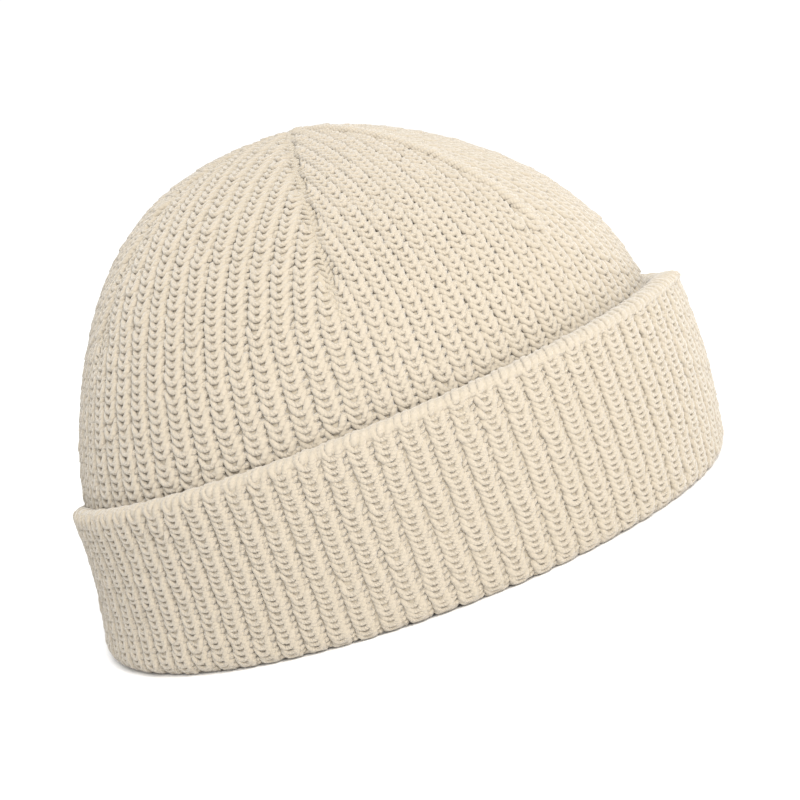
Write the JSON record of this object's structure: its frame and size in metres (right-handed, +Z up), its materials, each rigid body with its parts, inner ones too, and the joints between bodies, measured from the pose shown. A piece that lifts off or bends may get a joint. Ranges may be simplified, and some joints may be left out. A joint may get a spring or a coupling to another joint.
{
  "type": "fisherman beanie",
  "caption": "Chunky ribbed knit fisherman beanie with a deep turned-up cuff and a darted, rounded crown.",
  "frame": {"origin": "middle of the bounding box's bottom face, on the surface the hat rests on", "axes": "+X towards the wearer's front, along the hat's length; +Z up through the crown; -Y is the side that the picture faces"},
  "size_m": [0.2262, 0.1806, 0.146],
  "materials": {
    "ecru_rib_knit": "soft matte yarn",
    "pale_ecru_yarn": "soft matte yarn"
  },
  "bodies": {
    "root": {"crown": "ecru_rib_knit", "cuff": "ecru_rib_knit", "cuff_edge": "pale_ecru_yarn", "dart_seam_1": "pale_ecru_yarn", "dart_seam_2": "pale_ecru_yarn", "dart_seam_3": "pale_ecru_yarn", "dart_seam_4": "pale_ecru_yarn", "dart_seam_5": "pale_ecru_yarn", "dart_seam_6": "pale_ecru_yarn"}
  },
  "joints": []
}
